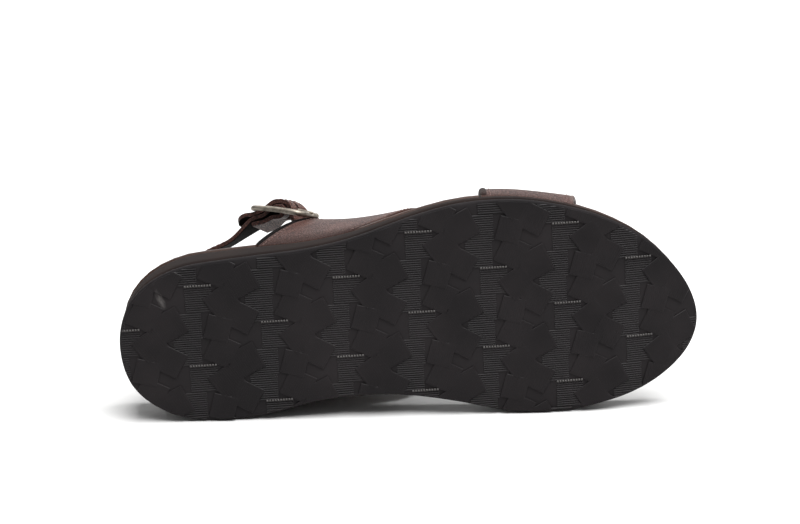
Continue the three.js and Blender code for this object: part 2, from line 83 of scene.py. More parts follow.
# %% A finished piece
def finish_piece(shape, name, materials, node=None):
    bmesh.ops.transform(shape, matrix=LAID, verts=shape.verts)
    for face in shape.faces:
        face.smooth = True
    mesh = bpy.data.meshes.new(name)
    shape.to_mesh(mesh)
    shape.free()
    for material in materials:
        mesh.materials.append(material)
    piece = bpy.data.objects.new(name, mesh)
    bpy.context.scene.collection.objects.link(piece)
    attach(piece, "root")
    if node:
        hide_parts(node)
    print(name, len(mesh.polygons), "faces")
    return piece


def subdivided(piece, levels=2):
    smooth = piece.modifiers.new("smooth", "SUBSURF")
    smooth.levels = smooth.render_levels = levels
    return piece


# %% Colour and nodes
# A Mix node of colours has its factor in socket 0, its colours in 6 and 7, and its result in output 2.
def linear(code):
    """The linear colour of an sRGB hex value."""
    shares = [int(code[i:i + 2], 16) / 255 for i in (1, 3, 5)]
    return [s / 12.92 if s <= 0.04045 else ((s + 0.055) / 1.055) ** 2.4 for s in shares] + [1]


def per(size):
    """The texture scale that repeats once in a size given in millimetres."""
    return 1 / (size * MM)


def add(material, kind, values=None, links=None, stops=(), **settings):
    """One shader node with its settings, values and links, and a ramp's stops of place and hex colour."""
    node = material.node_tree.nodes.new("ShaderNode" + kind)
    for name, value in settings.items():
        setattr(node, name, value)
    for socket, value in (values or {}).items():
        node.inputs[socket].default_value = value
    for socket, source in (links or {}).items():
        material.node_tree.links.new(source, node.inputs[socket])
    for number, (position, code) in enumerate(stops):
        node.color_ramp.elements[number].position = position
        node.color_ramp.elements[number].color = linear(code)
    return node


def new_finish(name):
    """An empty material, and the places in the piece that its patterns are drawn on."""
    material = bpy.data.materials.new(name)
    material.use_nodes = True
    material.node_tree.nodes.clear()
    return material, add(material, "TexCoord").outputs["Object"]


print("mid grey is", round(linear("#808080")[0], 3), "in linear light")

# %% [markdown]
# ## Black rubber and foam
# The outsole is sheet rubber from a hot mould: nearly black, matt, with a faint bloom that greys it in
# clouds and a fine grit left by the mould. The grit is drawn a few tenths of a millimetre wide, coarser than
# it is, so that it shows. The flanks of the ribs come from polished cuts in the mould and shine more. The
# highest dashes are rubbed grey by the ground, and their colour is lighter still as a painted highlight.
# A small scuff at the heel is rubbed grey too. The midsole is a closed-cell foam with a skin, softer and
# rougher. Each could have a material of its own, but they differ only in colour, grit and gloss, so one
# function makes them all from a table.

# %% The scuff at the heel
SCUFF = {"x": 20.7, "y": -22.1, "wide": 2.6, "long": 8.5, "streak": 0.65, "turn": -24, "grey": "#5a5756"}


def scuffed(material, place, plain):
    """The plain colour with the heel's scuff drawn over it in streaks."""
    spot = add(
        material, "Mapping",
        {"Location": LAID @ Vector((SCUFF["x"], SCUFF["y"], 0)),
         "Rotation": (0, math.radians(SCUFF["turn"]), 0),
         "Scale": (SCUFF["wide"] * MM, SCUFF["long"] * MM, SCUFF["long"] * MM)},
        {"Vector": place}, vector_type="TEXTURE",
    ).outputs["Vector"]
    fade = add(material, "TexGradient", links={"Vector": spot}, gradient_type="SPHERICAL")
    fineness = SCUFF["wide"] / SCUFF["streak"]
    streak = add(material, "TexNoise", {"Scale": fineness, "Detail": 4.0}, {"Vector": spot})
    both = {0: fade.outputs["Fac"], 1: streak.outputs["Fac"]}
    rubbed = add(material, "Math", links=both, operation="MULTIPLY").outputs["Value"]
    share = add(
        material, "MapRange", {"From Min": 0.14, "From Max": 0.5, "To Max": 0.8}, {"Value": rubbed}
    )
    over_plain = {0: share.outputs["Result"], 6: plain}
    return add(material, "Mix", {7: linear(SCUFF["grey"])}, over_plain, data_type="RGBA").outputs[2]


# %% Moulded rubber
BLOOM_SIZE = 28


def moulded_rubber(name, dark, bloom, grit, depth, roughness, specular):
    material, place = new_finish(name)
    cloud = add(
        material, "TexNoise", {"Scale": per(BLOOM_SIZE), "Detail": 4.0}, {"Vector": place}
    ).outputs["Fac"]
    grain = add(material, "TexNoise", {"Scale": per(grit), "Detail": 2.0}, {"Vector": place}).outputs["Fac"]
    plain = add(material, "ValToRGB", links={"Fac": cloud}, stops=[(0.35, dark), (0.72, bloom)])
    gloss = add(
        material, "MapRange", {"To Min": roughness - 0.1, "To Max": roughness + 0.12}, {"Value": cloud}
    )
    bump = add(material, "Bump", {"Strength": 0.6, "Distance": depth * MM}, {"Height": grain})
    shader = add(
        material, "BsdfPrincipled", {"IOR": 1.52, "Specular IOR Level": specular},
        {"Base Color": scuffed(material, place, plain.outputs["Color"]),
         "Roughness": gloss.outputs["Result"], "Normal": bump.outputs["Normal"]},
    )
    add(material, "OutputMaterial", links={"Surface": shader.outputs["BSDF"]})
    return material


# %% The rubbers
RUBBERS = [
    {"name": "moulded_black_rubber", "dark": "#211f20", "bloom": "#292627", "grit": 0.35, "depth": 0.03,
     "roughness": 0.7, "specular": 0.07},
    {"name": "polished_black_rubber", "dark": "#1f1d1e", "bloom": "#282526", "grit": 0.5, "depth": 0.02,
     "roughness": 0.46, "specular": 0.17},
    # Rubbed grey, and lighter still as a painted highlight on the dashes.
    {"name": "rubbed_black_rubber_and_painted_highlight", "dark": "#444140", "bloom": "#514e4d", "grit": 0.5, "depth": 0.02,
     "roughness": 0.42, "specular": 0.22},
    {"name": "skinned_black_foam", "dark": "#1f1a19", "bloom": "#27201e", "grit": 0.6, "depth": 0.05,
     "roughness": 0.78, "specular": 0.03},
]
black_rubber, polished_rubber, rubbed_rubber_and_painted_highlight, black_foam = [moulded_rubber(**row) for row in RUBBERS]
print("rubbers:", [row["name"] for row in RUBBERS])

# %% [markdown]
# ## Outsole
# The outsole is cut from a moulded sheet, so its pattern runs off the edge all round. The pattern could be
# carved out of one thick sheet by displacement, but its fine ribs would need millions of faces. Here the
# sheet and the pattern are two pieces. The solid's flat underside stands where the highest ridges end. The
# sheet is therefore set up by the depth of the relief, and the pattern fills the rest.

# %% The sheet
SOLE_LENGTH = 287
TOE_SPRING = 9
SPRING_START = 205
EDGE_ROUND = 0.8
RELIEF = 0.9


def tread_height(x):
    along = max(0, (x - SPRING_START) / (SOLE_LENGTH - SPRING_START))
    return TOE_SPRING * along ** 2


sheet = stood_copy("outsole")
underside = [v for v in sheet.verts if v.co.z - tread_height(v.co.x) < EDGE_ROUND / 2]
lower_rim = [v for v in sheet.verts if abs(v.co.z - tread_height(v.co.x) - EDGE_ROUND) < EDGE_ROUND / 4]
outline = [v.co.copy() for v in lower_rim]
bmesh.ops.translate(sheet, verts=underside + lower_rim, vec=(0, 0, RELIEF))
subdivided(finish_piece(sheet, "outsole_sheet", [black_rubber], "outsole"))
print("outline of", len(outline), "points")

# %% [markdown]
# ## Tread pattern
# A half-drop repeat covers the sheet. Each tile has a stepped column of upright squares with lengthwise ribs,
# whose sloping flanks catch the light from above, and one row of bright dashes. Tilted plates lie over and
# beside them, with much lower ribs, and look dark. Bump in the rubber would be quicker, but it would leave
# the mesh bare and the sole's edge smooth, so the pattern is modelled. It is drawn flat first, in layers of
# strips and plates. They are cut along the sole's outline, and only then pulled up to their heights, so that
# every cut end is closed. No two plates that overlap are equally high, because faces in one plane flicker.

# %% The tile's sizes
TILE_LENGTH = 36
TILE_WIDTH = 40
RIB = {"pitch": 1.1, "width": 0.8, "height": 0.34, "flank": 0.25, "pieces": 9}
DASH = {"length": 0.95, "pitch": 1.35, "width": 0.9, "height": RELIEF, "flank": 0.3}
FINE_RIB = {"pitch": 1.1, "width": 0.6, "stand": 0.12, "flank": 0, "shorter": 1, "pieces": 1}
PLATE_FLANK = 0.16
RIBBED_SQUARES = [
    {"along": -3, "up": 13.4, "side": 13.5},
    {"along": 4, "up": 0, "side": 13.5, "dashed": True},
    {"along": -2, "up": -13.4, "side": 13.5},
]
TILTED_PLATES = [
    {"along": 13.5, "up": 13.5, "side": 14, "turn": 28, "height": 0.56},
    {"along": 25, "up": 8, "side": 14, "turn": -26, "height": 0.62},
    {"along": 15.5, "up": -2, "side": 14, "turn": -33, "height": 0.68},
    {"along": 24, "up": -10, "side": 13, "turn": 30, "height": 0.74},
    {"along": 12.5, "up": -15, "side": 12, "turn": 17, "height": 0.8},
]
print("a tile of", TILE_LENGTH, "by", TILE_WIDTH, "mm")


# %% Squares, strips and what hides them
def square_place(square):
    turn = math.radians(square.get("turn", 0))
    return Matrix.Translation((square["along"], -square["up"], 0)) @ Matrix.Rotation(turn, 4, "Z")


def covered(point):
    """Whether a tilted plate of this tile or of a neighbour lies over a point."""
    for column in (-1, 0, 1):
        for row in (-2, -1, 0, 1):
            shift = Vector((column * TILE_LENGTH, -(row + abs(column) / 2) * TILE_WIDTH, 0))
            for plate in TILTED_PLATES:
                local = square_place(plate).inverted() @ (point - shift)
                if max(abs(local.x), abs(local.y)) < plate["side"] / 2:
                    return True
    return False


def strip(shape, place, length, width, pieces=1):
    half = Matrix.Diagonal((length / 2, width / 2, 1, 1))
    bmesh.ops.create_grid(shape, x_segments=pieces, y_segments=1, size=1, matrix=place @ half)


def ribs(shape, square, rib):
    count = round(square["side"] / rib["pitch"])
    for number in range(count):
        across = (number + 0.5) * rib["pitch"] - count * rib["pitch"] / 2
        place = square_place(square) @ Matrix.Translation((0, across, 0))
        strip(shape, place, square["side"], rib["width"], rib["pieces"])


# %% The tile's layers
FLAT = math.radians(1)
# The dashes' finish is rubbed grey with a painted highlight.
BLACK, POLISHED, RUBBED_AND_HIGHLIT = range(3)
rib_layer, dash_layer = bmesh.new(), bmesh.new()
for square in RIBBED_SQUARES:
    ribs(rib_layer, square, RIB)
    if square.get("dashed"):
        for number in range(round(square["side"] / DASH["pitch"])):
            along = (number + 0.5) * DASH["pitch"] - square["side"] / 2
            dash = square_place(square) @ Matrix.Translation((along, -square["side"] / 2, 0))
            strip(dash_layer, dash, DASH["length"], DASH["width"])
for shape in (rib_layer, dash_layer):
    hidden = [f for f in shape.faces if all(covered(v.co) for v in f.verts)]
    bmesh.ops.delete(shape, geom=hidden, context="FACES")
    bmesh.ops.dissolve_limit(shape, angle_limit=FLAT, verts=shape.verts, edges=shape.edges)
layers = [
    (rib_layer, RIB["height"], RIB["flank"], BLACK),
    (dash_layer, DASH["height"], DASH["flank"], RUBBED_AND_HIGHLIT),
]
for plate in TILTED_PLATES:
    plate_layer, fine_layer = bmesh.new(), bmesh.new()
    strip(plate_layer, square_place(plate), plate["side"], plate["side"])
    crosswise = {**plate, "turn": plate["turn"] + 90, "side": plate["side"] - FINE_RIB["shorter"]}
    ribs(fine_layer, crosswise, FINE_RIB)
    layers.append((plate_layer, plate["height"], PLATE_FLANK, BLACK))
    layers.append((fine_layer, plate["height"] + FINE_RIB["stand"], FINE_RIB["flank"], BLACK))
print("strips in a tile:", [len(layer[0].faces) for layer in layers])

# %% How far the pattern reaches
PATTERN_INSET = 1.1
middle = sum(outline, Vector()) / len(outline)
outline.sort(key=lambda p: math.atan2(p.y - middle.y, p.x - middle.x))
outline = [point.to_2d().to_3d() for point in outline]
limit = []
for before, here, after in zip(outline[-1:] + outline[:-1], outline, outline[1:] + outline[:1]):
    inward = Vector((before.y - after.y, after.x - before.x, 0)).normalized()
    limit.append(here + inward * PATTERN_INSET)
print("pattern ends", PATTERN_INSET, "mm inside the edge")


def within_limit(point):
    """Whether a point lies inside the limit: a line from it crosses the limit an odd number of times."""
    inside = False
    for here, after in zip(limit, limit[1:] + limit[:1]):
        if (here.y > point.y) != (after.y > point.y):
            cross = here.x + (point.y - here.y) / (after.y - here.y) * (after.x - here.x)
            inside ^= point.x < cross
    return inside


# %% Repeating a tile and cutting it to the sole
ROW_RISE = math.radians(2.5)
TILE_COLUMNS = range(-1, 10)
TILE_ROWS = range(-3, 4)
ON_PLANE = 1e-5


def repeated(tile):
    """The tile's mesh at every place of the half-drop repeat that may meet the sole."""
    mesh = bpy.data.meshes.new("tile")
    tile.to_mesh(mesh)
    tile.free()
    shape = bmesh.new()
    slope = Matrix.Rotation(-ROW_RISE, 4, "Z")
    for column in TILE_COLUMNS:
        for row in TILE_ROWS:
            start = len(shape.verts)
            shape.from_mesh(mesh)
            shape.verts.ensure_lookup_table()
            shift = Vector((column * TILE_LENGTH, -(row + column % 2 / 2) * TILE_WIDTH, 0))
            bmesh.ops.transform(shape, matrix=slope @ Matrix.Translation(shift), verts=shape.verts[start:])
    bpy.data.meshes.remove(mesh)
    return shape


def cut_to_sole(shape):
    """The strips cut along each side of the limit, with the vertices of the cut marked."""
    on_cut = shape.verts.layers.int.new("on_cut")
    for here, after in zip(limit, limit[1:] + limit[:1]):
        outward = Vector((after.y - here.y, here.x - after.x, 0)).normalized()
        reach = (after - here).length / 2
        near = []
        for face in shape.faces:
            centre = face.calc_center_median()
            size = max((v.co - centre).length for v in face.verts)
            if (centre - (here + after) / 2).length < reach + size:
                near.append(face)
        geometry = set(near)
        for face in near:
            geometry.update(face.edges, face.verts)
        cut = bmesh.ops.bisect_plane(
            shape, geom=list(geometry), dist=ON_PLANE, plane_co=here, plane_no=outward
        )
        for v in cut["geom_cut"]:
            if isinstance(v, bmesh.types.BMVert):
                v[on_cut] = 1
    outside = [f for f in shape.faces if not within_limit(f.calc_center_median())]
    bmesh.ops.delete(shape, geom=outside, context="FACES")
    return shape


# %% Pulling strips up into bars
ROOT = 0.1
SAME_LEVEL = 1e-4
RIM_ANGLE = 1


def raised(shape, height, flank):
    """Flat strips pulled up into closed bars, with the rim of their outer face sloped except at the cut."""
    on_cut = shape.verts.layers.int["on_cut"]
    for v in shape.verts:
        v.co.z = RELIEF + ROOT
    grown = bmesh.ops.extrude_face_region(shape, geom=shape.faces[:], use_keep_orig=True)["geom"]
    tops = [v for v in grown if isinstance(v, bmesh.types.BMVert)]
    bmesh.ops.translate(shape, verts=tops, vec=(0, 0, -height - ROOT))
    bmesh.ops.recalc_face_normals(shape, faces=shape.faces)
    if flank:
        level = RELIEF - height
        rims = [e for e in shape.edges if all(abs(v.co.z - level) < SAME_LEVEL for v in e.verts)]
        rims = [e for e in rims if not all(v[on_cut] for v in e.verts)]
        rims = [e for e in rims if len(e.link_faces) == 2 and e.calc_face_angle() > RIM_ANGLE]
        bmesh.ops.bevel(
            shape, geom=rims, offset=flank, offset_type="OFFSET", segments=1, profile=0.5, affect="EDGES",
            material=-1,
        )
    for v in shape.verts:
        v.co.z += tread_height(v.co.x)
    return shape


# %% The tread
STEEPEST, FLATTEST = 0.3, 0.9
tread = bmesh.new()
for flat, height, flank, finish in layers:
    part = raised(cut_to_sole(repeated(flat)), height, flank)
    for face in part.faces:
        sloping = STEEPEST < abs(face.normal.z) < FLATTEST
        face.material_index = POLISHED if sloping and finish == BLACK else finish
    print("layer", round(height, 2), "mm high:", len(part.faces), "faces")
    mesh = bpy.data.meshes.new("layer")
    part.to_mesh(mesh)
    part.free()
    tread.from_mesh(mesh)
    bpy.data.meshes.remove(mesh)
rubbers = [black_rubber, polished_rubber, rubbed_rubber_and_painted_highlight]
tread_pattern = finish_piece(tread, "tread_pattern", rubbers)
for polygon in tread_pattern.data.polygons:
    polygon.use_smooth = False

# %% [markdown]
# ## Midsole
# The wedge of foam keeps the solid's form. Its edges are ground and sealed, so they are slightly round. A
# bevel could round them too, but a subdivision surface also smooths the facets of the solid's sides.

# %% The foam wedge
subdivided(finish_piece(stood_copy("midsole"), "midsole_wedge", [black_foam], "midsole"))

# %% [markdown]
# ## Leather
# Corrected-grain leather is embossed with small pebbles, dyed dark and then sprayed lighter, so the tops
# of the pebbles are paler than the valleys. A picture of leather could be laid on, but it would need seams.
# Cells grown round random points have none, and their size is set in millimetres. The pores are drawn
# coarser than real ones, so that they show. The same recipe with smaller pebbles gives the black lining and
# the smooth footbed. Cut edges are painted, which fills the fibres and leaves them glossier. Wear has left a
# few creases in the brown leather. Each is put in its place as a long flat ellipsoid in which the grain
# sinks, with painted shade darkening it. The corner above the sole is darker with painted shade, and
# rougher.

# %% Creases
CREASES = [
    {"x": 79, "y": -52, "z": 33, "wide": 0.8, "across": 14, "tall": 8, "turn": -30},
    {"x": 86, "y": -53, "z": 38, "wide": 1, "across": 14, "tall": 10, "turn": -38},
    {"x": 95, "y": -52, "z": 44, "wide": 0.8, "across": 14, "tall": 7, "turn": -46},
    {"x": 88, "y": 38, "z": 42, "wide": 1, "across": 14, "tall": 11, "turn": -40},
    {"x": 96, "y": 36, "z": 50, "wide": 0.9, "across": 14, "tall": 8, "turn": -48},
    {"x": 196, "y": -8, "z": 50, "wide": 1.2, "across": 30, "tall": 24, "turn": 0},
    {"x": 203, "y": -14, "z": 48, "wide": 1, "across": 20, "tall": 24, "turn": 0},
]
print(len(CREASES), "creases")


def crease_depth(material, place):
    """One where a crease is deepest, falling to nothing at its sides."""
    deepest = None
    for crease in CREASES:
        spot = add(
            material, "Mapping",
            {"Location": LAID @ Vector((crease["x"], crease["y"], crease["z"])),
             "Rotation": (0, 0, math.radians(crease["turn"])),
             "Scale": (crease["wide"] * MM, crease["tall"] * MM, crease["across"] * MM)},
            {"Vector": place}, vector_type="TEXTURE",
        )
        fold = add(
            material, "TexGradient", links={"Vector": spot.outputs["Vector"]}, gradient_type="SPHERICAL"
        ).outputs["Fac"]
        if deepest:
            fold = add(material, "Math", links={0: deepest, 1: fold}, operation="MAXIMUM").outputs["Value"]
        deepest = fold
    return deepest


# %% Creases and painted shade
# How strong the painted shade is in the creases and in the corner above the sole, and where that corner lies.
PAINTED_SHADE = 0.7
CREASE_SINK = 2.5
PAINTED_SHADE_CORNER = {"slope": 0.135, "foot": -28.3, "rise": 14, "dull": 0.3}


def with_creases_and_painted_shade(material, place, valley, height, colour, gloss):
    """Height, colour and roughness with the creases sunk, painted shade in them and in the corner above the
    sole, and that corner rougher.
    """
    fold = crease_depth(material, place)
    sunk = add(material, "Math", {1: -CREASE_SINK}, {0: fold, 2: height}, operation="MULTIPLY_ADD")
    level = add(
        material, "VectorMath", {1: (PAINTED_SHADE_CORNER["slope"], 1, 0)}, {0: place}, operation="DOT_PRODUCT"
    )
    corner = add(
        material, "MapRange",
        {"From Min": (PAINTED_SHADE_CORNER["foot"] + PAINTED_SHADE_CORNER["rise"]) * MM, "From Max": PAINTED_SHADE_CORNER["foot"] * MM},
        {"Value": level.outputs["Value"]}, interpolation_type="SMOOTHSTEP",
    ).outputs["Result"]
    # Painted shade: the colour is darkened towards the valley's in the creases and in the corner above the
    # sole, and that corner is made rougher.
    either = add(material, "Math", links={0: fold, 1: corner}, operation="MAXIMUM").outputs["Value"]
    shade = add(material, "Math", {1: PAINTED_SHADE}, {0: either}, operation="MULTIPLY").outputs["Value"]
    darker = add(material, "Mix", {7: linear(valley)}, {0: shade, 6: colour}, data_type="RGBA")
    duller = add(material, "Math", {1: PAINTED_SHADE_CORNER["dull"]}, {0: corner, 2: gloss}, operation="MULTIPLY_ADD")
    return sunk.outputs["Value"], darker.outputs[2], duller.outputs["Value"]


# %% Pebbles
GRAIN = {"warp": 2.5, "shift": 0.6, "pore": 0.35, "patch": 17}


def pebble_domes(material, place, pebble):
    """One on the top of every pebble, falling to nothing in the valleys between them."""
    warp = add(material, "TexNoise", {"Scale": per(GRAIN["warp"]), "Detail": 2.0}, {"Vector": place})
    shifted = add(
        material, "VectorMath", {1: [GRAIN["shift"] * MM] * 3}, {0: warp.outputs["Color"], 2: place},
        operation="MULTIPLY_ADD",
    ).outputs["Vector"]
    cell = add(
        material, "TexVoronoi", {"Scale": per(pebble)}, {"Vector": shifted}, feature="DISTANCE_TO_EDGE"
    )
    return add(
        material, "MapRange", {"From Max": 0.28}, {"Value": cell.outputs["Distance"]},
        interpolation_type="SMOOTHSTEP",
    ).outputs["Result"]


# %% Grained leather
def grained_leather(name, valley, face, pale, pebble, depth, roughness, specular, creases_and_painted_shade=False):
    material, place = new_finish(name)
    dome = pebble_domes(material, place, pebble)
    pores = add(material, "TexNoise", {"Scale": per(GRAIN["pore"]), "Detail": 3.0}, {"Vector": place})
    cloud = add(material, "TexNoise", {"Scale": per(GRAIN["patch"]), "Detail": 3.0}, {"Vector": place})
    grain = add(material, "ValToRGB", links={"Fac": dome}, stops=[(0.0, valley), (0.75, face)])
    patch = add(
        material, "MapRange", {"From Min": 0.45, "From Max": 0.75, "To Max": 0.55},
        {"Value": cloud.outputs["Fac"]},
    )
    over_grain = {0: patch.outputs["Result"], 6: grain.outputs["Color"]}
    colour = add(material, "Mix", {7: linear(pale)}, over_grain, data_type="RGBA").outputs[2]
    gloss = add(
        material, "MapRange", {"To Min": roughness + 0.15, "To Max": roughness}, {"Value": dome}
    ).outputs["Result"]
    height = add(
        material, "Math", {1: 0.25}, {0: pores.outputs["Fac"], 2: dome}, operation="MULTIPLY_ADD"
    ).outputs["Value"]
    # Creases, with painted shade in them and in the corner above the sole.
    if creases_and_painted_shade:
        height, colour, gloss = with_creases_and_painted_shade(material, place, valley, height, colour, gloss)
    bump = add(material, "Bump", {"Strength": 0.8, "Distance": depth * MM}, {"Height": height})
    shader = add(
        material, "BsdfPrincipled", {"IOR": 1.5, "Specular IOR Level": specular},
        {"Base Color": colour, "Roughness": gloss, "Normal": bump.outputs["Normal"]},
    )
    add(material, "OutputMaterial", links={"Surface": shader.outputs["BSDF"]})
    return material


# %% The leathers
LEATHERS = [
    # The brown leather has creases, with painted shade in them and in the corner above the sole.
    {"name": "pebbled_brown_leather", "valley": "#1e0f0c", "face": "#482a23", "pale": "#573830",
     "pebble": 1.3, "depth": 0.16, "roughness": 0.52, "specular": 0.26, "creases_and_painted_shade": True},
    # The straps' leather is the brown leather painted lighter, as painted light on the straps.
    {"name": "pebbled_brown_leather_painted_light", "valley": "#27140f", "face": "#5c382f", "pale": "#6d493e",
     "pebble": 1.3, "depth": 0.18, "roughness": 0.5, "specular": 0.32},
    {"name": "smooth_black_lining", "valley": "#0f0d0d", "face": "#171515", "pale": "#1f1c1c",
     "pebble": 0.7, "depth": 0.05, "roughness": 0.74, "specular": 0.03},
    {"name": "smooth_footbed_leather", "valley": "#26160f", "face": "#3a241b", "pale": "#462d23",
     "pebble": 0.6, "depth": 0.03, "roughness": 0.5, "specular": 0.3},
    {"name": "painted_leather_edge", "valley": "#26150f", "face": "#462a22", "pale": "#54362d",
     "pebble": 0.9, "depth": 0.04, "roughness": 0.42, "specular": 0.3},
    {"name": "rolled_dark_brown_leather", "valley": "#130a08", "face": "#20120e", "pale": "#2a1914",
     "pebble": 0.9, "depth": 0.04, "roughness": 0.6, "specular": 0.12},
]
brown_leather, strap_leather_painted_light, black_lining, footbed_leather, painted_edge, dark_binding = [
    grained_leather(**row) for row in LEATHERS
]
band_finishes = [brown_leather, black_lining, painted_edge]
strap_finishes = [strap_leather_painted_light, black_lining, brown_leather]
print("leathers:", [row["name"] for row in LEATHERS])

# %% [markdown]
# ## Footbed
# The insole board is wrapped in smooth leather and dished for heel and ball. Its brown edge lies flush with
# the side of the sole. A subdivision surface would round off the notches where the bands go down. The solid
# already has them, so the copy keeps its faces, and only edges that are really sharp stay sharp.

# %% The wrapped insole
SHARP_EDGE = math.radians(40)
insole = stood_copy("footbed")
for edge in insole.edges:
    edge.smooth = not (edge.is_manifold and edge.calc_face_angle() > SHARP_EDGE)
finish_piece(insole, "footbed_leather", [footbed_leather], "footbed")

# %% [markdown]
# ## Leather sheets with thickness
# A band is brown leather outside, black lining inside and painted on its cut edges. It could be three
# pieces, but one sheet with a Solidify modifier gives all of them, because the modifier can hand the inner
# wall and the rim to other material slots. A narrow bevel and a subdivision surface then soften the edges as
# a maker's edge tool does.

# %% Thickness for a sheet
SOFT_EDGE = {"width": 0.5, "segments": 2, "angle": math.radians(50)}


def with_thickness(piece, thickness, offset):
    """A sheet given its leather, lining and painted rim, and soft edges."""
    wall = piece.modifiers.new("thickness", "SOLIDIFY")
    wall.thickness = thickness * MM
    wall.offset = offset
    wall.use_even_offset = True
    wall.material_offset = 1
    wall.material_offset_rim = 2
    soft = piece.modifiers.new("edge", "BEVEL")
    soft.width = SOFT_EDGE["width"] * MM
    soft.segments = SOFT_EDGE["segments"]
    soft.limit_method = "ANGLE"
    soft.angle_limit = SOFT_EDGE["angle"]
    return subdivided(piece)


# %% The outer face of a band's solid
BAND_THICKNESS = 2.6
RIM_LIMIT = 1.05 * BAND_THICKNESS
FOOT_MIDDLE = Vector((0, -12, 22))


def band_sheet(node):
    """The outer face of a band's solid, without its rim and its inner wall."""
    shape = stood_copy(node)
    rim = [f for f in shape.faces if min(e.calc_length() for e in f.edges) < RIM_LIMIT]
    bmesh.ops.delete(shape, geom=rim, context="FACES")
    inner = []
    for face in shape.faces:
        out = face.calc_center_median() - FOOT_MIDDLE
        if face.normal.yz.dot(out.yz) < 0:
            inner.append(face)
    bmesh.ops.delete(shape, geom=inner, context="FACES")
    return shape


# %% The edges of a sheet
def edge_runs(shape):
    """The sheet's rear and front edges, each a list of points with the surface's normals there."""
    corners = [v for v in shape.verts if len(v.link_faces) == 1]
    runs = []
    for corner in corners:
        for rim in corner.link_edges:
            here, edge, run = corner, rim, [corner]
            while len(run) == 1 or here not in corners:
                here = edge.other_vert(here)
                run.append(here)
                edge = next((e for e in here.link_edges if e.is_boundary and e is not edge), None)
            if corner.co.y < here.co.y:
                runs.append([(v.co.copy(), v.normal.copy()) for v in run])
    runs.sort(key=lambda run: -len(run))
    return sorted(runs[:2], key=lambda run: sum(p.x for p, _ in run) / len(run))


# %% The two bands
OUTER_FACE = -1
edges_of = {}
surface_of = {}
for node in ("front_band", "instep_band"):
    shape = band_sheet(node)
    edges_of[node] = edge_runs(shape)
    surface_of[node] = BVHTree.FromBMesh(shape)
    print(node, "edges of", [len(run) for run in edges_of[node]], "points")
    band = finish_piece(shape, node + "_leather", band_finishes, node)
    with_thickness(band, BAND_THICKNESS, OUTER_FACE)

# %% [markdown]
# ## Rolled edges
# Three edges of the bands are bound: a strip of thin leather is rolled round the edge and stitched down. The
# front band's rolls are brown, and the one at the rear of the instep band is black. A curve with a round
# bevel could make a roll, but it would need turning into a mesh afterwards. Circles set along the edge and
# bridged one to the next are a closed mesh at once.

# %% Round section along a way
ROLL_SIDES = 10


def rolled(points, radius):
    """A closed round bar that follows the points."""
    shape = bmesh.new()
    before = None
    for number, point in enumerate(points):
        ahead = points[min(number + 1, len(points) - 1)] - points[max(number - 1, 0)]
        turn = ahead.to_track_quat("Z", "Y").to_matrix().to_4x4()
        at_end = number in (0, len(points) - 1)
        ring = bmesh.ops.create_circle(
            shape, cap_ends=at_end, segments=ROLL_SIDES, radius=radius,
            matrix=Matrix.Translation(point) @ turn,
        )["verts"]
        loop = list(dict.fromkeys(e for v in ring for e in v.link_edges))
        if before:
            bmesh.ops.bridge_loops(shape, edges=before + loop)
        before = loop
    bmesh.ops.recalc_face_normals(shape, faces=shape.faces)
    return shape


# %% Bindings on the edges
REAR, FRONT = range(2)
BINDINGS = [
    {"name": "front_band_binding", "node": "front_band", "edge": REAR, "radius": 2.25, "stand_off": -1.6},
    {"name": "front_band_lip", "node": "front_band", "edge": FRONT, "radius": 1.5, "stand_off": 0.2},
    {"name": "instep_band_binding", "node": "instep_band", "edge": REAR, "radius": 1.9, "stand_off": 1.4},
]
BINDING_LEATHERS = [dark_binding, painted_edge, black_lining]


def into_band(run, other):
    """For each place of an edge, the way along the surface into the band."""
    far = sum((point for point, _ in other), Vector()) / len(other)
    ways = []
    for number, (point, normal) in enumerate(run):
        ahead = run[min(number + 1, len(run) - 1)][0] - run[max(number - 1, 0)][0]
        inward = normal.cross(ahead).normalized()
        ways.append(inward if inward.dot(far - point) > 0 else -inward)
    return ways


for binding, leather in zip(BINDINGS, BINDING_LEATHERS):
    runs = edges_of[binding["node"]]
    run, other = runs[binding["edge"]], runs[1 - binding["edge"]]
    way = [
        point - normal * BAND_THICKNESS / 2 - inward * binding["stand_off"]
        for (point, normal), inward in zip(run, into_band(run, other))
    ]
    roll = finish_piece(rolled(way, binding["radius"]), binding["name"], [leather])
    subdivided(roll, 1)

# %% [markdown]
# ## Antique brass
# Brass wire is darkened in a bath and rubbed back by hand, so tarnish stays in patches and the rest shines.
# Pointiness could find the hollows, but it changes with the mesh. Clouds of tarnish a few millimetres wide
# do as well on wire this thin, with scratches from the rubbing that are drawn coarse enough to show.

# %% Tarnished brass
TARNISH_SIZE = 3
SCRATCH_SIZE = 0.3
SCRATCH_DEPTH = 0.02
antique_brass, place = new_finish("antique_brass")
cloud = add(
    antique_brass, "TexNoise", {"Scale": per(TARNISH_SIZE), "Detail": 5.0}, {"Vector": place}
).outputs["Fac"]
scratch = add(antique_brass, "TexNoise", {"Scale": per(SCRATCH_SIZE), "Detail": 2.0}, {"Vector": place})
colour = add(antique_brass, "ValToRGB", links={"Fac": cloud}, stops=[(0.3, "#6a635a"), (0.62, "#9d958a")])
gloss = add(antique_brass, "MapRange", {"To Min": 0.66, "To Max": 0.38}, {"Value": cloud})
bump = add(
    antique_brass, "Bump", {"Strength": 0.4, "Distance": SCRATCH_DEPTH * MM},
    {"Height": scratch.outputs["Fac"]},
)
shader = add(
    antique_brass, "BsdfPrincipled", {"Metallic": 1.0},
    {"Base Color": colour.outputs["Color"], "Roughness": gloss.outputs["Result"],
     "Normal": bump.outputs["Normal"]},
)
add(antique_brass, "OutputMaterial", links={"Surface": shader.outputs["BSDF"]})
print("material:", antique_brass.name)

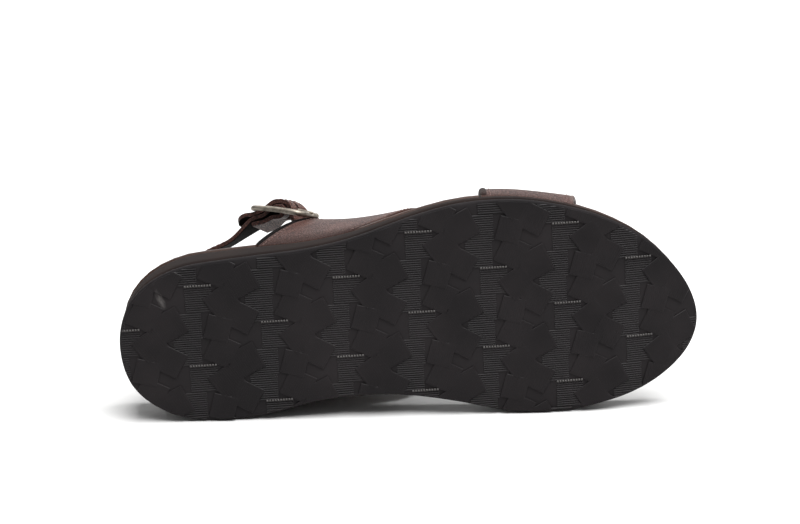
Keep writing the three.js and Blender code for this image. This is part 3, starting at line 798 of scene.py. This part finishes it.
# %% [markdown]
# ## Buckle
# The frame is wire bent to a rounded oblong with a bar riveted across its middle. A prong hooks round the bar
# and rests in a notch of the front rail. A torus pulled out of round would get thin corners. A circle pulled
# along each side and spun round each corner keeps the wire's thickness. The frame is slightly bowed, so that
# the strap passes under its ends and over its bar.

# %% The buckle's place
BUCKLE_MIDDLE = Vector((82, -49.8, 73))
BUCKLE_TURN = Euler([math.radians(angle) for angle in (-13, 28, 2)])
BUCKLE_PLACE = Matrix.Translation(BUCKLE_MIDDLE) @ BUCKLE_TURN.to_matrix().to_4x4()
RAIL = {"reach": 14.6, "rise": 10.5, "corner": 3.5, "radius": 1.5, "sides": 12, "cuts": 13, "bends": 4}
print("buckle", 2 * (RAIL["reach"] + RAIL["radius"]), "mm long")


def at_buckle(along, out):
    """A place in the buckle's middle plane, so far along the strap and out from the foot."""
    return BUCKLE_PLACE @ Vector((along, -out, 0))


# %% The bent wire
WELD = 0.01
wire = bmesh.new()
run_x = RAIL["reach"] - RAIL["corner"]
run_z = RAIL["rise"] - RAIL["corner"]
start = Matrix.Translation((RAIL["reach"], 0, -run_z))
ring = bmesh.ops.create_circle(wire, segments=RAIL["sides"], radius=RAIL["radius"], matrix=start)["verts"]
loop = list(dict.fromkeys(e for v in ring for e in v.link_edges))
for corner in range(4):
    heading = Matrix.Rotation(math.radians(-90 * corner), 3, "Y") @ Vector((0, 0, 1))
    length = 2 * (run_z if corner % 2 == 0 else run_x)
    pulled = bmesh.ops.extrude_edge_only(wire, edges=loop)["geom"]
    ends = [v for v in pulled if isinstance(v, bmesh.types.BMVert)]
    loop = [e for e in pulled if isinstance(e, bmesh.types.BMEdge) and all(v in ends for v in e.verts)]
    bmesh.ops.translate(wire, verts=ends, vec=heading * length)
    centre = (run_x if corner in (0, 3) else -run_x, 0, run_z if corner in (0, 1) else -run_z)
    spun = bmesh.ops.spin(
        wire, geom=ends + loop, cent=centre, axis=(0, -1, 0), angle=math.radians(90), steps=RAIL["bends"]
    )["geom_last"]
    loop = [e for e in spun if isinstance(e, bmesh.types.BMEdge)]
bmesh.ops.remove_doubles(wire, verts=wire.verts, dist=WELD)
print("wire of", len(wire.faces), "faces")

# %% Bow, notch and bar
BOW = 0.7
NOTCH = 1.2
GAP = 0.3
PRONG_RADIUS = 0.8
PRONG_REST = 1.2
BAR_RADIUS = 1.3
RIVET = 0.3
rails = [e for e in wire.edges if e.calc_length() > RAIL["rise"]]
bmesh.ops.subdivide_edges(wire, edges=rails, cuts=RAIL["cuts"])
for v in wire.verts:
    v.co.y -= BOW * (1 - (v.co.x / RAIL["reach"]) ** 2)
    if v.co.x > run_x and abs(v.co.z) < NOTCH:
        v.co.y = max(v.co.y, PRONG_RADIUS - PRONG_REST + GAP)
bar_length = 2 * (RAIL["rise"] + RAIL["radius"] + RIVET)
bmesh.ops.create_cone(
    wire, cap_ends=True, segments=RAIL["sides"], radius1=BAR_RADIUS, radius2=BAR_RADIUS, depth=bar_length
)
bmesh.ops.recalc_face_normals(wire, faces=wire.faces)
bmesh.ops.transform(wire, matrix=BUCKLE_PLACE, verts=wire.verts)
subdivided(finish_piece(wire, "buckle_wire", [antique_brass], "buckle_frame"), 1)

# %% Prong
HOOK_TURNS = [-20, -70, -120, -170, -220, -270]
hook = BAR_RADIUS + GAP + PRONG_RADIUS
tip = RAIL["reach"] + RAIL["radius"] + GAP
prong_way = [
    at_buckle(hook * math.cos(math.radians(turn)), hook * math.sin(math.radians(turn))) for turn in HOOK_TURNS
]
prong_way.append(at_buckle(RAIL["reach"] / 2, (hook + PRONG_REST) / 2))
prong_way.append(at_buckle(RAIL["reach"], PRONG_REST))
prong_way.append(at_buckle(tip, PRONG_REST))
prong_shape = rolled(prong_way, PRONG_RADIUS)
prong_surface = BVHTree.FromBMesh(prong_shape)
subdivided(finish_piece(prong_shape, "buckle_tongue", [antique_brass], "buckle_prong"))

# %% [markdown]
# ## Straps
# The heel strap comes from the inner side of the foot, runs round the heel and folds round the buckle's bar.
# The buckle strap comes out of the outer side of the instep band, climbs over the bar and ends in a round
# tip. A curve with a flat profile would twist as it likes at the fold. So each strap is a flat grid laid
# along a smooth way through a table of places, with the lean of its width given at each, and thickened as
# the bands are. Faces along the middle are left out where the prong passes, which gives the slot in the
# fold and the hole that the prong goes through.

# %% Places of the straps
HEEL_FOLD = [
    {"along": -14, "out": -9.85, "roll": 12},
    {"along": -7.5, "out": -7.1, "roll": 7},
    {"along": -2.9, "out": -3.48, "roll": 0},
    {"along": 1.45, "out": -2.51, "roll": 0},
    {"along": 2.72, "out": -0.99, "roll": 0},
    {"along": 2.72, "out": 0.99, "roll": 0},
    {"along": 1.45, "out": 2.51, "roll": 0},
    {"along": -2.9, "out": 1.74, "roll": 0},
    {"along": -8.25, "out": -3.82, "roll": 5},
    {"along": -15, "out": -7, "roll": 8},
]
BILLET_RUN = [
    {"along": -25, "out": -9.8, "roll": 27},
    {"along": -19.5, "out": -5.9, "roll": 16},
    {"along": -15, "out": -3.85, "roll": 6},
    {"along": -8.7, "out": 0, "roll": 3},
    {"along": -3.9, "out": 4.5, "roll": 0},
    {"along": 0, "out": 5.25, "roll": 0},
    {"along": 4.4, "out": 4.4, "roll": 0},
    {"along": 8.6, "out": -0.6, "roll": -24},
    {"along": 12.6, "out": -7.5, "roll": -14},
]
HEEL_LOOP = [
    {"x": 55, "y": -33.4, "z": 80, "lean": 19},
    {"x": 42, "y": -26.6, "z": 82.5, "lean": 19},
    {"x": 27, "y": -17.8, "z": 84, "lean": 18},
    {"x": 16.5, "y": -7.5, "z": 84.5, "lean": 16},
    {"x": 14, "y": 4, "z": 83.5, "lean": 14},
    {"x": 18, "y": 15.5, "z": 81, "lean": 12},
    {"x": 28, "y": 24.8, "z": 77, "lean": 9},
    {"x": 48, "y": 32.2, "z": 71, "lean": 7},
    {"x": 66, "y": 34.4, "z": 67.5, "lean": 6},
    {"x": 85, "y": 32.8, "z": 66.1, "lean": -1},
    {"x": 96, "y": 30.5, "z": 65.9, "lean": 1},
    {"x": 107, "y": 28.1, "z": 65.5, "lean": 6},
]
BILLET_SEWN = [
    {"x": 99.6, "y": -42, "z": 68.7, "lean": 16},
    {"x": 106.4, "y": -41.3, "z": 68.4, "lean": 20.5},
    {"x": 113.4, "y": -40.5, "z": 68, "lean": 26},
]
print("places in the tables:", [len(rows) for rows in (HEEL_FOLD, HEEL_LOOP, BILLET_RUN, BILLET_SEWN)])

# %% From the tables to places
HEEL_MIDDLE = Vector((60, 0, 0))


def through_buckle(row):
    """A place on a strap at the buckle, and the way its width stands there."""
    forward, up = BUCKLE_PLACE.col[0].to_3d(), BUCKLE_PLACE.col[2].to_3d()
    roll = Matrix.Rotation(math.radians(-row["roll"]), 3, forward)
    return at_buckle(row["along"], row["out"]), roll @ up


def round_heel(row):
    """A place on a strap along the foot, its width leaning in towards the foot's middle line."""
    place = Vector((row["x"], row["y"], row["z"]))
    middle = HEEL_MIDDLE if row["x"] < HEEL_MIDDLE.x else Vector((row["x"], 0, 0))
    inward = (middle - place).to_2d().to_3d().normalized()
    lean = math.radians(row["lean"])
    return place, Vector((0, 0, math.cos(lean))) + inward * math.sin(lean)


heel_places = [through_buckle(row) for row in HEEL_FOLD] + [round_heel(row) for row in HEEL_LOOP]
billet_places = [through_buckle(row) for row in BILLET_RUN] + [round_heel(row) for row in BILLET_SEWN]
print("the heel strap starts at", [round(c, 1) for c in heel_places[0][0]])


# %% A smooth way through places
def smooth_way(places, share):
    """Place and stand at a share of the way, on a centripetal curve through the places."""
    number = min(int(share * (len(places) - 1)), len(places) - 2)
    within = share * (len(places) - 1) - number
    first, second = places[number], places[number + 1]
    before = places[number - 1] if number else [2 * a - b for a, b in zip(first, second)]
    after = places[number + 2] if number + 2 < len(places) else [2 * b - a for a, b in zip(first, second)]
    gaps = [(b[0] - a[0]).length ** 0.5 for a, b in ((before, first), (first, second), (second, after))]
    found = []
    for a, b, c, d in zip(before, first, second, after):
        leave = ((b - a) / gaps[0] - (c - a) / (gaps[0] + gaps[1]) + (c - b) / gaps[1]) * gaps[1]
        arrive = ((c - b) / gaps[1] - (d - b) / (gaps[1] + gaps[2]) + (d - c) / gaps[2]) * gaps[1]
        u = within
        found.append(
            b * (2 * u ** 3 - 3 * u ** 2 + 1) + leave * (u ** 3 - 2 * u ** 2 + u)
            + c * (3 * u ** 2 - 2 * u ** 3) + arrive * (u ** 3 - u ** 2)
        )
    return found


def strap_frame(places, share):
    """Point, width and outward directions of a strap at a share of its way."""
    step = 1e-3
    point, across = smooth_way(places, share)
    ahead = smooth_way(places, min(1, share + step))[0] - smooth_way(places, max(0, share - step))[0]
    ahead.normalize()
    across = (across - ahead * across.dot(ahead)).normalized()
    return point, across, ahead.cross(across)


# %% A strap's sheet
TIP_END = 0.3
COLUMNS = 7
PRONG_CLEAR = 2
PUNCH_RIM = 0.12


def strap_sheet(places, stock, tip=0):
    """A grid bent along the places, rounded at its tip, punched, and open where the prong passes."""
    shape = bmesh.new()
    bmesh.ops.create_grid(shape, x_segments=stock["steps"], y_segments=COLUMNS, size=1)
    centre_line = [f for f in shape.faces if abs(f.calc_center_median().y) < 1 / COLUMNS]
    for v in shape.verts:
        point, across, _ = strap_frame(places, (v.co.x + 1) / 2)
        from_tip = (point - places[0][0]).length
        narrow = math.sqrt(1 - (1 - from_tip / tip) ** 2) if from_tip < tip else 1
        v.co = point + across * v.co.y * stock["width"] / 2 * max(narrow, TIP_END)
    punched = []
    for hole in stock["holes"]:
        away = [abs((f.calc_center_median() - places[0][0]).length - hole) for f in centre_line]
        punched.append(centre_line[away.index(min(away))])
    slot = [f for f in centre_line if prong_surface.find_nearest(f.calc_center_median())[3] < PRONG_CLEAR]
    bmesh.ops.inset_individual(shape, faces=punched, thickness=PUNCH_RIM)
    bmesh.ops.delete(shape, geom=punched + slot, context="FACES")
    print("strap with", len(punched), "holes, and", len(slot), "faces left out for the prong")
    return shape


# %% The straps
HEEL_STRAP = {"width": 16.4, "thickness": 2.3, "steps": 72, "holes": ()}
BILLET = {"width": 14, "thickness": 2.2, "steps": 36, "holes": (6, 12, 18)}
MID_FACE = 0
heel_sheet = strap_sheet(heel_places, HEEL_STRAP)
bmesh.ops.reverse_faces(heel_sheet, faces=heel_sheet.faces)
heel_strap = finish_piece(heel_sheet, "heel_strap_leather", strap_finishes, "heel_strap")
with_thickness(heel_strap, HEEL_STRAP["thickness"], MID_FACE)
billet_sheet = strap_sheet(billet_places, BILLET, BILLET["width"] / 2)
billet = finish_piece(billet_sheet, "buckle_strap_leather", strap_finishes, "buckle_strap")
with_thickness(billet, BILLET["thickness"], MID_FACE)

# %% [markdown]
# ## Waxed thread
# The leather is sewn with twisted polyester thread, waxed so that it runs well, which leaves it a little
# glossy. Its strands could be modelled as coils, but a stitch is only two millimetres long, so a wave in the
# material draws them as slanting ribs. Real ones are finer than the render can show, and they are drawn at
# half a millimetre. The wave's diagonal bands take a full turn in tau / (10 sqrt 3) of its own units.

# %% Thread
TWIST_SIZE = 0.5
TWIST_TURN = math.tau / (10 * math.sqrt(3))
TWIST_DEPTH = 0.05
waxed_thread, place = new_finish("waxed_brown_thread")
twist = add(
    waxed_thread, "TexWave", {"Scale": per(TWIST_SIZE) * TWIST_TURN}, {"Vector": place},
    bands_direction="DIAGONAL",
).outputs["Fac"]
# Painted shade: the ramp darkens the grooves between the strands, where the wave and its bump are low.
colour = add(waxed_thread, "ValToRGB", links={"Fac": twist}, stops=[(0.2, "#3b2520"), (0.8, "#6a4a41")])
bump = add(waxed_thread, "Bump", {"Strength": 0.5, "Distance": TWIST_DEPTH * MM}, {"Height": twist})
shader = add(
    waxed_thread, "BsdfPrincipled", {"Roughness": 0.5},
    {"Base Color": colour.outputs["Color"], "Normal": bump.outputs["Normal"]},
)
add(waxed_thread, "OutputMaterial", links={"Surface": shader.outputs["BSDF"]})
print("material:", waxed_thread.name)

# %% [markdown]
# ## Stitches
# Thread of the leather's own colour holds leather and lining together, a short way in from the edges. A
# dashed line in the material could stand for it, but would be flat in a close view. One stitch is a sphere
# drawn out to a spindle. Copies of it are set along each row, half sunk in the leather, at the pitch of a
# heavy sewing machine.

# %% Rows of stitches
STITCH = {"length": 2.3, "pitch": 3, "radius": 0.3, "from_edge": 2.6, "from_roll": 0.8}
SPINDLE = {"u_segments": 6, "v_segments": 5, "radius": 1}


def sew(rows, name):
    """Stitches along rows of places, each a point and the surface's normal there."""
    shape = bmesh.new()
    size = Matrix.Diagonal((STITCH["length"] / 2, STITCH["radius"], STITCH["radius"], 1))
    for row in rows:
        walked, due = 0, STITCH["pitch"] / 2
        for (here, normal), (after, _) in zip(row, row[1:]):
            ahead = after - here
            while due < walked + ahead.length:
                point = here + ahead * ((due - walked) / ahead.length)
                along = ahead.normalized()
                side = normal.cross(along).normalized()
                turn = Matrix((along, side, along.cross(side))).transposed().to_4x4()
                place = Matrix.Translation(point) @ turn @ size
                bmesh.ops.create_uvsphere(shape, matrix=place, **SPINDLE)
                due += STITCH["pitch"]
            walked += ahead.length
    return finish_piece(shape, name, [waxed_thread])


# %% Stitches on the bands
for node, runs in edges_of.items():
    rows = []
    for edge, (run, other) in enumerate((runs, runs[::-1])):
        rolls = [b["radius"] - b["stand_off"] for b in BINDINGS if b["node"] == node and b["edge"] == edge]
        depth = max([STITCH["from_edge"]] + [roll + STITCH["from_roll"] for roll in rolls])
        inset = [point + inward * depth for (point, _), inward in zip(run, into_band(run, other))]
        found = [surface_of[node].find_nearest(point) for point in inset]
        rows.append([(location, normal) for location, normal, _, _ in found])
    sew(rows, node + "_stitches")

# %% Stitches on the straps
SEWN_STRAPS = [
    {"name": "heel_strap_stitches", "places": heel_places, "stock": HEEL_STRAP, "out": -1,
     "from": 0.45, "to": 0.9},
    {"name": "buckle_strap_stitches", "places": billet_places, "stock": BILLET, "out": 1,
     "from": 0.1, "to": 0.62},
]
FROM_STRAP_EDGE = 1.9
ROW_STEPS = 60
for strap in SEWN_STRAPS:
    rows = []
    for side in (-1, 1):
        row = []
        for number in range(ROW_STEPS + 1):
            share = strap["from"] + (strap["to"] - strap["from"]) * number / ROW_STEPS
            point, across, out = strap_frame(strap["places"], share)
            out = out * strap["out"]
            reach = strap["stock"]["width"] / 2 - FROM_STRAP_EDGE
            row.append((point + across * side * reach + out * strap["stock"]["thickness"] / 2, out))
        rows.append(row)
    sew(rows, strap["name"])

# %% [markdown]
# ## White table
# The ground in the photograph is plain white. Here it is a large board with matt white paint, hardly clouded.
# A curved backdrop would do too, but it would stand in the way of views from behind.

# %% White table
TABLE_HALF = 4
PATCH_SIZE = 400
table_white, place = new_finish("matt_white_table")
cloud = add(table_white, "TexNoise", {"Scale": per(PATCH_SIZE)}, {"Vector": place}).outputs["Fac"]
white = add(table_white, "ValToRGB", links={"Fac": cloud}, stops=[(0.3, "#dededd"), (0.7, "#e2e2e2")])
shader = add(
    table_white, "BsdfPrincipled", {"Roughness": 0.9, "Specular IOR Level": 0.1},
    {"Base Color": white.outputs["Color"]},
)
add(table_white, "OutputMaterial", links={"Surface": shader.outputs["BSDF"]})
table = bmesh.new()
bmesh.ops.create_grid(table, x_segments=4, y_segments=4, size=TABLE_HALF)
table_mesh = bpy.data.meshes.new("table")
table.to_mesh(table_mesh)
table.free()
table_mesh.materials.append(table_white)
table_top = bpy.data.objects.new("table", table_mesh)
bpy.context.scene.collection.objects.link(table_top)
print("table", 2 * TABLE_HALF, "m wide")

# %% [markdown]
# ## Light and camera
# A wide soft light hangs above, a little towards the toe and the camera, so upward faces are bright and the
# tread stays dark. A weaker light stands low behind the shoe like a white wall, and brightens the leather
# along its upper outline. A dim white world fills the shadows. One small lamp would be simpler, but would
# draw hard shadows. The camera stands where the photograph was taken from. Their places are in metres.

# %% Light
WORLD_STRENGTH = 0.22
LIGHTS = [
    {"name": "softbox", "wide": 1.6, "deep": 1.6, "place": (0.35, -0.3, 1.5), "tilt": 0, "power": 60},
    {"name": "low_wall", "wide": 2.4, "deep": 0.9, "place": (0, 1.4, 0.55), "tilt": -75, "power": 15},
]
for row in LIGHTS:
    light_data = bpy.data.lights.new(row["name"], "AREA")
    light_data.shape = "RECTANGLE"
    light_data.size = row["wide"]
    light_data.size_y = row["deep"]
    light_data.energy = row["power"]
    light = bpy.data.objects.new(row["name"], light_data)
    light.location = row["place"]
    light.rotation_euler = (math.radians(row["tilt"]), 0, 0)
    light.visible_camera = False
    bpy.context.scene.collection.objects.link(light)
world = bpy.data.worlds.new("white_room")
world.use_nodes = True
world.node_tree.nodes["Background"].inputs["Color"].default_value = linear("#ffffff")
world.node_tree.nodes["Background"].inputs["Strength"].default_value = WORLD_STRENGTH
bpy.context.scene.world = world
bpy.context.scene.view_settings.view_transform = "Standard"
print("lights:", [row["name"] for row in LIGHTS])

# %% Camera
CAMERA = {
    "place": (-0.0647, -0.8739, 0.3253), "look": (0.0669, 0.9565, -0.2840), "lens": 80.59, "sensor": 36,
}
camera_data = bpy.data.cameras.new("camera")
camera_data.lens = CAMERA["lens"]
camera_data.sensor_width = CAMERA["sensor"]
camera = bpy.data.objects.new("camera", camera_data)
camera.location = CAMERA["place"]
camera.rotation_euler = Vector(CAMERA["look"]).to_track_quat("-Z", "Y").to_euler()
bpy.context.scene.collection.objects.link(camera)
bpy.context.scene.camera = camera
print("camera", round(camera.location.length, 2), "m from the shoe")
